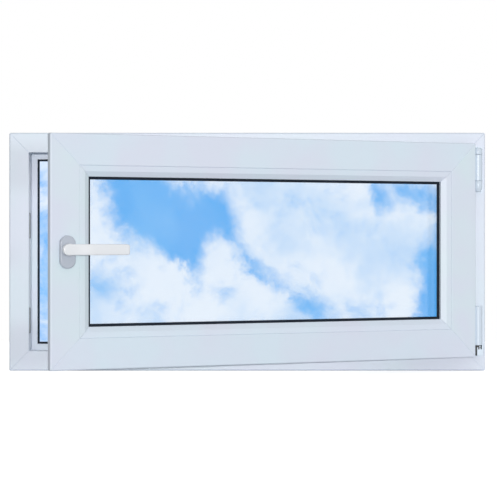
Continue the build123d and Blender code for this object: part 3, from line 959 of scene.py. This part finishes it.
    def rosette_ring(self, inset: float, height: float) -> list[Vector]:
        """Draws the rosette's outline: a slot with round ends.

        Args:
            inset: How far inside the outer edge the line runs.
            height: How far over the sash's face it runs.

        Returns:
            The points of one closed row.
        """
        radius = self.rosette_width / 2 - inset
        straight = (self.rosette_height - self.rosette_width) / 2
        ring = []
        for end, start in ((1, 0.0), (-1, math.pi)):
            for i in range(self.rosette_end_steps + 1):
                angle = start + math.pi * i / self.rosette_end_steps
                over = end * straight - self.rosette_drop + radius * math.sin(angle)
                ring.append(Vector((radius * math.cos(angle), over, height)))
        return ring

    def build_rosette(self) -> bpy.types.Object:
        """Builds the rosette: a moulded cover with a seam at its foot and a collar round the neck.

        Returns:
            The rosette.
        """
        shell = Shell("handle_rosette_moulded")
        top = self.rosette_thickness
        edge = self.rosette_round
        seam = self.seam_width
        outline = [(seam, 0.0), (seam, self.seam_height), (0.0, self.seam_height + seam)]
        outline += [(edge * (1 - math.cos(a)), top - edge * (1 - math.sin(a)))
                    for a in quarter_turn(self.rosette_round_steps)]
        rows = [shell.loop(self.rosette_ring(inset, height)) for inset, height in outline]
        rim = top + self.collar_height
        soft = self.collar_round
        collar = [
            (self.collar_radius, top),
            (self.collar_radius, rim - soft),
            (self.collar_radius - soft, rim),
            (self.bore_radius + soft, rim),
            (self.bore_radius, rim - soft),
            (self.bore_radius, 0.0),
        ]
        bearings = [point.normalized() for point in self.rosette_ring(0.0, 0.0)]
        for radius, height in collar:
            rows.append(shell.loop(bearing * radius + UP * height for bearing in bearings))
        shell.skin(rows + rows[:1])
        cover = WhiteCoat("pale_grey_moulded_rosette", colour="#BAC1CC", shade="#B3BAC6")
        return shell.piece(self.place, Body.SASH, Slot.HANDLE_WHITE, cover)


@dataclass(frozen=True)
class CloudNoise:
    """One layer of cloud texture: how large its forms are in the sky, in radians, and how they break up."""

    size: float
    detail: float
    roughness: float
    distortion: float = 0.0

    def add_to(self, tree: bpy.types.NodeTree, direction: bpy.types.NodeSocket) -> bpy.types.Node:
        """Adds the layer to the sky.

        Args:
            tree: The world's node tree.
            direction: The direction that is looked in.

        Returns:
            The noise texture.
        """
        return add_node(tree, "ShaderNodeTexNoise", {
            "Vector": direction,
            "Scale": 1.0 / self.size,
            "Detail": self.detail,
            "Roughness": self.roughness,
            "Distortion": self.distortion,
        })


@dataclass(frozen=True)
class BlueOpening:
    """A gap between clouds: where it lies and how far it reaches, as directions from the window.

    A clearness of about 1 is open blue, and a small one is thin cloud.
    """

    across: float
    up: float
    half_length: float
    half_width: float
    tilt_deg: float
    clearness: float


@dataclass
class Sky:
    """Blue summer sky with broken cloud, in the directions that the window shows.

    The last three openings lie beside the open sash, and the others behind the glass.
    """

    deep: str = "#58ADF4"
    pale: str = "#70B9F7"
    cloud: str = "#EAF1FD"
    cloud_shade: str = "#C0DAF9"
    strength: float = 1.08
    billow: CloudNoise = CloudNoise(0.042, 5.0, 0.5)
    wisp: CloudNoise = CloudNoise(0.022, 10.0, 0.64, 0.4)
    fray: CloudNoise = CloudNoise(0.0075, 6.0, 0.62)
    wisp_share: float = 1.5
    fray_share: float = 0.72
    drift: float = 0.016
    shade_from: float = 0.42
    shade_to: float = 0.70
    clear_from: float = -0.02
    clear_to: float = 0.84
    openings: tuple[BlueOpening, ...] = (
        BlueOpening(-0.0480, 0.0175, 0.0430, 0.0270, -25.0, 1.25),
        BlueOpening(-0.0361, 0.0025, 0.0280, 0.0150, -38.0, 0.80),
        BlueOpening(-0.0292, -0.0127, 0.0220, 0.0085, -74.0, 0.66),
        BlueOpening(-0.0130, 0.0040, 0.0220, 0.0120, -45.0, 0.50),
        BlueOpening(0.0022, -0.0120, 0.0240, 0.0075, -42.0, 0.44),
        BlueOpening(0.0174, -0.0255, 0.0220, 0.0066, -40.0, 0.38),
        BlueOpening(0.0335, -0.0367, 0.0190, 0.0110, -42.0, 0.66),
        BlueOpening(-0.0143, 0.0160, 0.0210, 0.0130, -65.0, 0.74),
        BlueOpening(0.0654, 0.0226, 0.0180, 0.0080, -55.0, 0.86),
        BlueOpening(0.0828, 0.0236, 0.0290, 0.0140, -18.0, 0.48),
        BlueOpening(0.0945, 0.0150, 0.0200, 0.0100, -60.0, 0.46),
        BlueOpening(0.0955, -0.0262, 0.0420, 0.0150, 84.0, 1.25),
        BlueOpening(-0.0722, -0.0162, 0.0290, 0.0200, -60.0, 0.14),
        BlueOpening(-0.0640, -0.0348, 0.0320, 0.0150, -20.0, 0.22),
        BlueOpening(0.0603, -0.0357, 0.0400, 0.0120, -3.0, 0.36),
        BlueOpening(-0.1045, -0.0350, 0.1500, 0.0200, 90.0, 0.37),
        BlueOpening(-0.1045, -0.0440, 0.0220, 0.0200, 90.0, 0.26),
        BlueOpening(-0.1045, 0.0250, 0.0300, 0.0200, 90.0, 0.17),
    )

    def colour(self, tree: bpy.types.NodeTree) -> bpy.types.NodeSocket:
        """Draws the sky.

        Args:
            tree: The world's node tree.

        Returns:
            The socket that gives the sky's colour.
        """
        place = add_node(tree, "ShaderNodeTexCoord").outputs["Generated"]
        wisps = self.wisp.add_to(tree, place)
        centred = add_node(tree, "ShaderNodeVectorMath", {
            0: wisps.outputs["Color"],
            1: (NOISE_MIDDLE,) * 3,
        }, operation="SUBTRACT")
        drifted = add_node(tree, "ShaderNodeVectorMath", {
            0: centred.outputs[0],
            1: (self.drift,) * 3,
            2: place,
        }, operation="MULTIPLY_ADD").outputs[0]
        clear = self.clear_sky(tree, drifted, wisps.outputs["Fac"])
        billows = self.billow.add_to(tree, drifted)
        shaded = add_node(tree, "ShaderNodeMapRange", {
            "Value": billows.outputs["Fac"],
            "From Min": self.shade_from,
            "From Max": self.shade_to,
        }, interpolation_type="SMOOTHSTEP").outputs["Result"]
        cloud = add_node(tree, "ShaderNodeMix", {
            "Factor": shaded,
            COLOUR_A: linear(self.cloud),
            COLOUR_B: linear(self.cloud_shade),
        }, data_type="RGBA")
        blue = add_node(tree, "ShaderNodeMix", {
            "Factor": shaded,
            COLOUR_A: linear(self.deep),
            COLOUR_B: linear(self.pale),
        }, data_type="RGBA")
        sky = add_node(tree, "ShaderNodeMix", {
            "Factor": clear,
            COLOUR_A: cloud.outputs[COLOUR_OUT],
            COLOUR_B: blue.outputs[COLOUR_OUT],
        }, data_type="RGBA")
        return sky.outputs[COLOUR_OUT]

    def clear_sky(self, tree: bpy.types.NodeTree, direction: bpy.types.NodeSocket,
                  wisps: bpy.types.NodeSocket) -> bpy.types.NodeSocket:
        """Says where the sky is clear of clouds.

        Args:
            tree: The world's node tree.
            direction: The direction that is looked in.
            wisps: Fine cloud noise.

        Returns:
            The socket that gives 1 in clear sky and 0 in cloud.
        """
        level: Any = 0.0
        for gap in self.openings:
            shape = add_node(tree, "ShaderNodeMapping", {
                "Vector": direction,
                "Location": (gap.across, 1.0, gap.up),
                "Rotation": (0.0, -math.radians(gap.tilt_deg), 0.0),
                "Scale": (gap.half_length, 1.0, gap.half_width),
            }, vector_type="TEXTURE")
            soft = add_node(tree, "ShaderNodeTexGradient", {
                "Vector": shape.outputs[0],
            }, gradient_type="SPHERICAL")
            level = add_node(tree, "ShaderNodeMath", {
                0: soft.outputs["Fac"],
                1: gap.clearness,
                2: level,
            }, operation="MULTIPLY_ADD").outputs[0]
        frays = self.fray.add_to(tree, direction)
        for noise, share in ((wisps, self.wisp_share), (frays.outputs["Fac"], self.fray_share)):
            centred = add_node(tree, "ShaderNodeMath", {0: noise, 1: NOISE_MIDDLE}, operation="SUBTRACT")
            level = add_node(tree, "ShaderNodeMath", {
                0: centred.outputs[0],
                1: share,
                2: level,
            }, operation="MULTIPLY_ADD").outputs[0]
        return add_node(tree, "ShaderNodeMapRange", {
            "Value": level,
            "From Min": self.clear_from,
            "From Max": self.clear_to,
        }, interpolation_type="SMOOTHSTEP").outputs["Result"]


@dataclass(frozen=True)
class Softbox:
    """A lamp with soft light. Its place and sizes are in metres and its power in watts.

    A lamp that doesn't gleam lights the surfaces and leaves no bright spot on them.
    """

    name: str
    place: tuple[float, float, float]
    width: float
    height: float
    power: float
    gleams: bool = False

    def hang(self, target: Vector) -> None:
        """Hangs the lamp.

        Args:
            target: The point that it shines at, in metres.
        """
        data = bpy.data.lights.new(self.name, "AREA")
        data.shape = "RECTANGLE"
        data.size = self.width
        data.size_y = self.height
        data.energy = self.power
        lamp = bpy.data.objects.new(self.name, data)
        lamp.location = self.place
        lamp.rotation_mode = "QUATERNION"
        lamp.rotation_quaternion = (target - lamp.location).to_track_quat("-Z", "Y")
        lamp.visible_camera = False
        lamp.visible_transmission = False
        lamp.visible_glossy = self.gleams
        bpy.context.scene.collection.objects.link(lamp)


@dataclass
class Studio:
    """Floor, soft light, a sky that shows only through the window, and the camera of the photograph.

    The front lamp gives the frame its sheen and draws the thin shadow under the sash. The key lamp shapes
    the sash from the right, low enough to leave the sill in the light. The street lamp is for the back of
    the frame. The pixel values say where the frame's edges and foot lie in the photograph.
    Places on the floor are in metres.
    """

    image_width: int = 497
    image_height: int = 500
    frame_left_px: float = 9.8
    frame_right_px: float = 484.5
    frame_foot_px: float = 370.7
    eye_distance_mm: float = 4100.0
    eye_height_mm: float = 280.0
    sensor_mm: float = 36.0
    floor_half_width: float = 1.6
    floor_front: float = -2.4
    floor_back: float = 1.1
    air_lap_mm: float = 2.0
    air_inset_mm: float = 10.0
    white: str = "#FFFFFF"
    dome_side: tuple[float, float, float] = (0.5, -0.6, 0.6)
    dome_dim: float = 0.14
    dome_bright: float = 0.58
    sky: Sky = field(default_factory=Sky)
    lamp_target: tuple[float, float, float] = (0.0, 0.0, 0.25)
    lamps: tuple[Softbox, ...] = (
        Softbox("front_softbox", (0.0, -12.0, 0.86), 1.2, 0.12, 595.0, gleams=True),
        Softbox("key_softbox", (6.18, -10.29, 0.6), 0.9, 0.9, 205.0),
        Softbox("street_softbox", (1.2, 2.4, 1.0), 1.6, 1.2, 42.0),
    )

    def build(self) -> None:
        """Builds the whole studio."""
        self.build_world()
        self.build_floor()
        self.build_air()
        for lamp in self.lamps:
            lamp.hang(Vector(self.lamp_target))
        self.build_camera()

    def build_world(self) -> None:
        """Makes the world: white to the eye, soft light on the object, and a sky behind the window."""
        world = bpy.data.worlds.new("studio_world")
        bpy.context.scene.world = world
        world.use_nodes = True
        tree = world.node_tree
        tree.nodes.clear()
        output = add_node(tree, "ShaderNodeOutputWorld")
        path = add_node(tree, "ShaderNodeLightPath")
        place = add_node(tree, "ShaderNodeTexCoord")
        facing = add_node(tree, "ShaderNodeVectorMath", {
            0: place.outputs["Generated"],
            1: Vector(self.dome_side).normalized(),
        }, operation="DOT_PRODUCT")
        level = add_node(tree, "ShaderNodeMapRange", {
            "Value": facing.outputs["Value"],
            "From Min": -1.0,
            "To Min": self.dome_dim,
            "To Max": self.dome_bright,
        })
        dome = add_node(tree, "ShaderNodeBackground", {
            "Color": linear(self.white),
            "Strength": level.outputs["Result"],
        })
        backdrop = add_node(tree, "ShaderNodeBackground", {"Color": linear(self.white), "Strength": 1.0})
        sky = add_node(tree, "ShaderNodeBackground", {
            "Color": self.sky.colour(tree),
            "Strength": self.sky.strength,
        })
        seen = add_node(tree, "ShaderNodeMixShader", {
            0: path.outputs["Is Camera Ray"],
            1: dome.outputs[0],
            2: backdrop.outputs[0],
        })
        through = add_node(tree, "ShaderNodeMixShader", {
            0: path.outputs["Is Transmission Ray"],
            1: seen.outputs[0],
            2: sky.outputs[0],
        })
        tree.links.new(through.outputs[0], output.inputs["Surface"])

    @staticmethod
    def lay_sheet(name: str, corners: Sequence[tuple[float, float, float]], finish: Finish) -> None:
        """Lays one flat sheet of the stage, which isn't a piece of the window.

        Args:
            name: The sheet's name.
            corners: Its four corners in order, in metres.
            finish: Its finish.
        """
        mesh = bpy.data.meshes.new(name)
        mesh.from_pydata(corners, [], [(0, 1, 2, 3)])
        mesh.materials.append(finish.material())
        sheet = bpy.data.objects.new(name, mesh)
        bpy.context.scene.collection.objects.link(sheet)

    def build_floor(self) -> None:
        """Lays a pale floor that reads as white and keeps the window's shadow."""
        corners = [
            (-self.floor_half_width, self.floor_front, 0.0),
            (self.floor_half_width, self.floor_front, 0.0),
            (self.floor_half_width, self.floor_back, 0.0),
            (-self.floor_half_width, self.floor_back, 0.0),
        ]
        self.lay_sheet("studio_floor", corners, MattFloorPaint("matt_white_floor"))

    def build_air(self) -> None:
        """Spans the frame's opening with air that shows the sky, its edges held inside the frame's stop."""
        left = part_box("frame_left_jamb")[1].x - self.air_lap_mm * MM
        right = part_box("frame_right_jamb")[0].x + self.air_lap_mm * MM
        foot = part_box("frame_sill")[1].z - self.air_lap_mm * MM
        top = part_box("frame_head")[0].z + self.air_lap_mm * MM
        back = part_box("frame_sill")[1].y - self.air_inset_mm * MM
        corners = [(left, back, foot), (right, back, foot), (right, back, top), (left, back, top)]
        self.lay_sheet("studio_air", corners, OpenAir("open_air"))

    def build_camera(self) -> None:
        """Stands the camera square to the frame, where the photograph was taken."""
        low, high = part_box("frame_sill")
        pixels_per_metre = (self.frame_right_px - self.frame_left_px) / (high.x - low.x)
        distance = self.eye_distance_mm * MM
        height = self.eye_height_mm * MM
        focal_px = pixels_per_metre * distance
        axis_x_px = (self.frame_left_px + self.frame_right_px) / 2
        axis_y_px = self.frame_foot_px - height * pixels_per_metre
        longest = max(self.image_width, self.image_height)
        data = bpy.data.cameras.new("photo_camera")
        data.sensor_width = self.sensor_mm
        data.lens = focal_px * self.sensor_mm / longest
        data.shift_x = (self.image_width / 2 - axis_x_px) / longest
        data.shift_y = (axis_y_px - self.image_height / 2) / longest
        camera = bpy.data.objects.new("photo_camera", data)
        camera.location = ((low.x + high.x) / 2, low.y - distance, height)
        camera.rotation_euler = (math.radians(90.0), 0.0, 0.0)
        bpy.context.scene.collection.objects.link(camera)
        bpy.context.scene.camera = camera


def main() -> None:
    """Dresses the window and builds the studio."""
    logging.basicConfig(level=logging.INFO, format="%(message)s")
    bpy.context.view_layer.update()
    bpy.context.scene.view_settings.view_transform = "Standard"
    for assembly in (OuterFrame(), Sash(), Handle(), Studio()):
        assembly.build()


if __name__ == "__main__":
    main()
